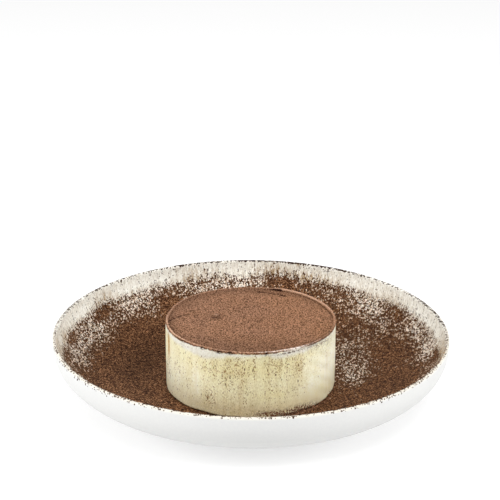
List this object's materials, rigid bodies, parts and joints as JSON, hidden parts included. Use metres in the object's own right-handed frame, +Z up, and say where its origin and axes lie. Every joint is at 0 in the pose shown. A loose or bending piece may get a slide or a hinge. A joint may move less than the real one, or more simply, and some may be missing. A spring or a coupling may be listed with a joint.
{
  "type": "tiramisu in a coupe dish",
  "caption": "Round ring-moulded tiramisu with a cocoa top, served in the middle of a shallow coupe dish with a speckled glaze inside.",
  "frame": {"origin": "middle of the foot ring's underside, on the table, with the dish's middle above it", "axes": "+Z up, through the dish's middle; +X to the right and +Y away from someone in front of the dish"},
  "size_m": [0.21, 0.21, 0.0435],
  "materials": {
    "dish_glaze": "satin white glaze outside, mottled dark brown and cream glaze inside",
    "mascarpone": "soft pale yellow cream with a dull sheen",
    "top_cream": "soft white cream with a dull sheen",
    "cocoa": "dry, matte, finely grained powder"
  },
  "bodies": {
    "root": {"dish": "dish_glaze", "mascarpone": "mascarpone", "top_cream": "top_cream", "cocoa": "cocoa"}
  },
  "joints": []
}
